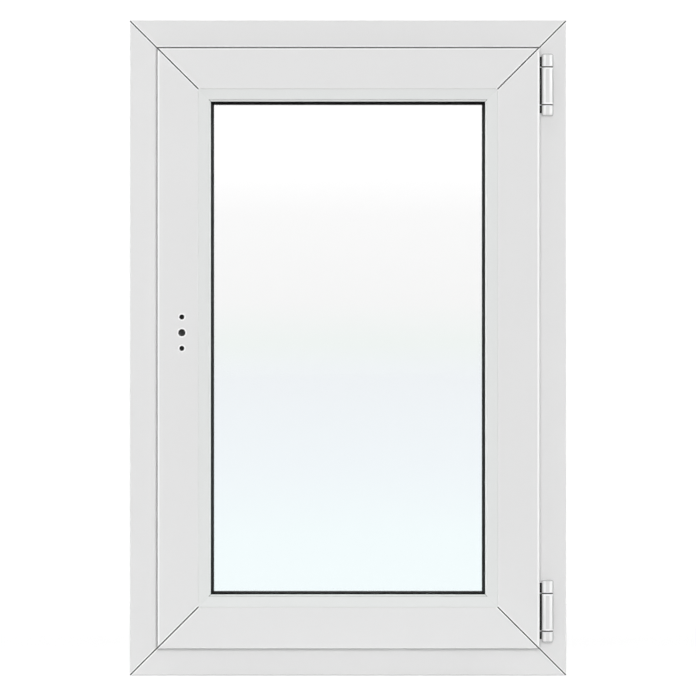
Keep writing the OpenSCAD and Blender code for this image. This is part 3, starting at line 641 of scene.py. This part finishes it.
def screws_of(node):
    """Each screw in a node: the middle of its head's face, its direction, its length and head radius."""
    bm = bmesh.new()
    bm.from_mesh(nodes[node].data)
    bmesh.ops.remove_doubles(bm, verts=bm.verts, dist=0.001 * MM)
    waiting = set(bm.verts)
    places = []
    while waiting:
        front = [waiting.pop()]
        solid = list(front)
        while front:
            found = [e.other_vert(v) for v in front for e in v.link_edges]
            front = list({v for v in found if v in waiting})
            waiting.difference_update(front)
            solid += front
        low = Vector([min(v.co[i] for v in solid) for i in range(3)])
        high = Vector([max(v.co[i] for v in solid) for i in range(3)])
        size = high - low
        middle = (low + high) / 2
        axis = max(range(3), key=lambda i: size[i])
        across = [i for i in range(3) if i != axis]
        radius = max(size[i] for i in across) / 2
        widest = max(solid, key=lambda v: sum((v.co[i] - middle[i]) ** 2 for i in across))
        ends_high = widest.co[axis] > middle[axis]
        head, point = middle.copy(), Vector((0, 0, 0))
        head[axis] = high[axis] if ends_high else low[axis]
        point[axis] = -1 if ends_high else 1
        places.append((tuple(head), tuple(point), size[axis], radius))
    bm.free()
    return sorted(places)


def cross(reach, half, z):
    """The corners of a cross recess's outline."""
    arm = [(half, half), (reach, half), (reach, -half)]
    points = []
    for turn in range(4):
        c, s = cos(-turn * pi / 2), sin(-turn * pi / 2)
        points += [(x * c - y * s, x * s + y * c, z) for x, y in arm]
    return points


def add_screw(bm, place, point, length, head_radius):
    """Adds a countersunk self-tapping screw with a cross recess to a mesh."""
    neck = SHANK_RADIUS - head_radius
    head = [  # height and radius of each ring, from the head's face to the thread
        (0.0, head_radius - 0.30 * MM),
        (-0.06 * MM, head_radius - 0.14 * MM),
        (-0.22 * MM, head_radius - 0.22 * MM),
        (neck, SHANK_RADIUS - 0.05 * MM),
        (neck - 0.5 * MM, THREAD_ROOT),
    ]
    start = head[-1][0]
    threaded = length + start
    steps = int(threaded / (THREAD_PITCH / RINGS_PER_TURN))
    turn = Vector((0, 0, -1)).rotation_difference(Vector(point)).to_matrix().to_4x4()
    matrix = Matrix.Translation(place) @ turn
    angles = [2 * pi * k / TURN_SEGMENTS for k in range(TURN_SEGMENTS)]
    rings = [[bm.verts.new(matrix @ Vector((r * cos(a), r * sin(a), z))) for a in angles] for z, r in head]
    for i in range(1, steps + 1):
        z = start - threaded * i / steps
        thin = min(1.0, 0.15 + (length + z) / POINT_TAPER)
        ring = []
        for k, a in enumerate(angles):
            phase = (z / THREAD_PITCH + k / TURN_SEGMENTS) % 1.0
            crest = max(0.0, 1.0 - abs(phase - 0.5) * 4.0) * min(1.0, i / RINGS_PER_TURN)
            r = (THREAD_ROOT + (SHANK_RADIUS - THREAD_ROOT) * crest) * thin
            ring.append(bm.verts.new(matrix @ Vector((r * cos(a), r * sin(a), z))))
        rings.append(ring)
    for here, beyond in zip(rings, rings[1:]):
        for k in range(TURN_SEGMENTS):
            j = (k + 1) % TURN_SEGMENTS
            bm.faces.new((here[k], here[j], beyond[j], beyond[k]))
    bm.faces.new(rings[-1])
    at_face = cross(0.62 * head_radius, 0.16 * head_radius, 0.0)
    at_foot = cross(0.30 * head_radius, 0.10 * head_radius, -0.42 * head_radius)
    mouth, foot = ([bm.verts.new(matrix @ Vector(p)) for p in outline] for outline in (at_face, at_foot))
    for k in range(CROSS_CORNERS):
        j = (k + 1) % CROSS_CORNERS
        bm.faces.new((mouth[k], mouth[j], foot[j], foot[k]))
    bm.faces.new(foot)
    rim = [bm.edges.get((rings[0][k], rings[0][(k + 1) % TURN_SEGMENTS])) for k in range(TURN_SEGMENTS)]
    rim += [bm.edges.get((mouth[k], mouth[(k + 1) % CROSS_CORNERS])) for k in range(CROSS_CORNERS)]
    bmesh.ops.triangle_fill(bm, edges=rim, use_beauty=True)


def add_screws(node):
    """Threaded screws in place of a node's plain ones."""
    bm = bmesh.new()
    for screw in screws_of(node):
        add_screw(bm, *screw)
    add_piece(node + "_threaded", bm, node)


add_bead_seal()
add_weather_glazing_seal()
add_stop_seal()
for screws in ("frame_steel", "keep", "hinge_frame", "hinge_sash", "sash_steel", "faceplate"):
    add_screws(screws + "_screws")


# ---- Studio --------------------------------------------------------------------------

# Share of the picture's width that the window fills, and the long lens of a square-on product view
WINDOW_SHARE = 0.6273
LENS = 400.0
SENSOR = 36.0


def add_camera():
    """The scene's camera, square on to the window's middle."""
    data = bpy.data.cameras.new("camera")
    data.lens = LENS
    data.sensor_width = SENSOR
    camera = bpy.data.objects.new("camera", data)
    bpy.context.scene.collection.objects.link(camera)
    distance = 2 * HALF_WIDTH / WINDOW_SHARE * LENS / SENSOR
    camera.location = (CENTRE.x, FRAME_FACE - distance, CENTRE.z)
    camera.rotation_euler = (pi / 2, 0.0, 0.0)
    bpy.context.scene.camera = camera


def add_softbox(name, azimuth, elevation, distance, width, height, radiance, glossy=True, diffuse=True):
    """A rectangular light that faces the window's middle. Azimuth 0 is the room side, 90 the hinge side."""
    a, e = radians(azimuth), radians(elevation)
    direction = Vector((sin(a) * cos(e), -cos(a) * cos(e), sin(e)))
    data = bpy.data.lights.new(name, "AREA")
    data.shape = "RECTANGLE"
    data.size = width
    data.size_y = height
    data.energy = radiance * pi * width * height
    light = bpy.data.objects.new(name, data)
    bpy.context.scene.collection.objects.link(light)
    light.location = CENTRE + direction * distance
    light.rotation_mode = "QUATERNION"
    light.rotation_quaternion = direction.to_track_quat("Z", "Y")
    light.visible_camera = False
    light.visible_transmission = False
    light.visible_glossy = glossy
    light.visible_diffuse = diffuse
    return light


def seen_directly(tree):
    """1 for rays that the camera sends straight or through glass."""
    path = tree.nodes.new("ShaderNodeLightPath")
    either = tree.nodes.new("ShaderNodeMath")
    either.operation = "MAXIMUM"
    for i, ray in enumerate(("Is Camera Ray", "Is Transmission Ray")):
        tree.links.new(path.outputs[ray], either.inputs[i])
    return either.outputs[0]


# The world's strength as a soft light, in reflections and as the backdrop
AMBIENT = 0.12
REFLECTED = 0.45
BACKDROP = 1.09


def level_for(tree, chosen, level):
    """A map range that gives level where chosen is 1. Its To Min is the level elsewhere."""
    node = tree.nodes.new("ShaderNodeMapRange")
    tree.links.new(chosen, node.inputs["Value"])
    node.inputs["To Max"].default_value = level
    return node


def add_world():
    """White where the camera looks at it or through glass, dimmer in reflections and low elsewhere."""
    world = bpy.data.worlds.new("studio")
    world.use_nodes = True
    bpy.context.scene.world = world
    tree = world.node_tree
    background = tree.nodes["Background"]
    background.inputs["Color"].default_value = grey(1.0)
    glossy = tree.nodes.new("ShaderNodeLightPath").outputs["Is Glossy Ray"]
    reflected = level_for(tree, glossy, REFLECTED)
    reflected.inputs["To Min"].default_value = AMBIENT
    strength = level_for(tree, seen_directly(tree), BACKDROP)
    tree.links.new(reflected.outputs["Result"], strength.inputs["To Min"])
    tree.links.new(strength.outputs["Result"], background.inputs["Strength"])


# The floor glows for the camera only, and fades into the backdrop between two distances from the window
FLOOR_SIZE = 240.0
FLOOR_GLOW = 0.70
FADE_START = 0.5
FADE_END = 3.0


def add_floor():
    """A pale floor that keeps soft shadows near the window and fades into the backdrop further out."""
    mesh = bpy.data.meshes.new("floor")
    half = FLOOR_SIZE / 2
    mesh.from_pydata([(x, y, 0.0) for x, y in ((-half, -half), (half, -half), (half, half), (-half, half))],
                     [], [(0, 1, 2, 3)])
    floor = bpy.data.objects.new("floor", mesh)
    bpy.context.scene.collection.objects.link(floor)
    floor.location.z = cad_low.z - 0.5 * MM
    s = Shader("floor")
    paint = s.mix(grey(0.86), grey(0.90), s.noise(s.place, 3.0))
    seen = seen_directly(s.tree)
    glow = s.product(seen, FLOOR_GLOW)
    s.finish(Base_Color=paint, Roughness=0.6, Emission_Color=grey(1.0), Emission_Strength=glow)
    out = s.add("ShaderNodeVectorMath", s.place, operation="LENGTH").outputs["Value"]
    backdrop = s.add("ShaderNodeEmission", grey(1.0), BACKDROP).outputs[0]
    fade = s.product(s.ramp(out, FADE_START, FADE_END), seen)
    both = s.add("ShaderNodeMixShader", fade, s.surface.outputs[0], backdrop)
    s.tree.links.new(both.outputs[0], s.tree.nodes["Material Output"].inputs["Surface"])
    mesh.materials.append(s.material)
    return floor


def spare(light, surface):
    """Keeps a light off one surface."""
    spared = bpy.data.collections.new(light.name + "_spares")
    spared.objects.link(surface)
    spared.collection_objects[0].light_linking.link_state = "EXCLUDE"
    light.light_linking.receiver_collection = spared


add_camera()
add_world()
floor = add_floor()
# Degrees round and above the window, then the distance, width, height and radiance
front = add_softbox("front", 0, 4, 9.0, 2.4, 2.2, 24.3, glossy=False)
add_softbox("key", -38, 16, 2.5, 1.1, 1.8, 0.9)
add_softbox("fill", 40, 10, 2.5, 0.9, 1.8, 0.8)
add_softbox("strip_left", -63, 4, 2.5, 0.4, 1.8, 18.0, diffuse=False)
add_softbox("strip_right", 74, 4, 2.5, 0.4, 1.8, 12.0, diffuse=False)
add_softbox("side_left", -80, 6, 2.0, 0.5, 1.8, 3.0)
add_softbox("side_right", 80, 6, 2.0, 0.5, 1.8, 3.2)
add_softbox("top", -8, 66, 2.4, 1.6, 1.0, 1.6)
back_left = add_softbox("back_left", -140, 25, 2.6, 1.0, 1.6, 5.0)
back_right = add_softbox("back_right", 140, 20, 2.6, 1.0, 1.6, 5.6)
for light in (front, back_left, back_right):
    spare(light, floor)
bpy.context.scene.view_settings.view_transform = "Standard"
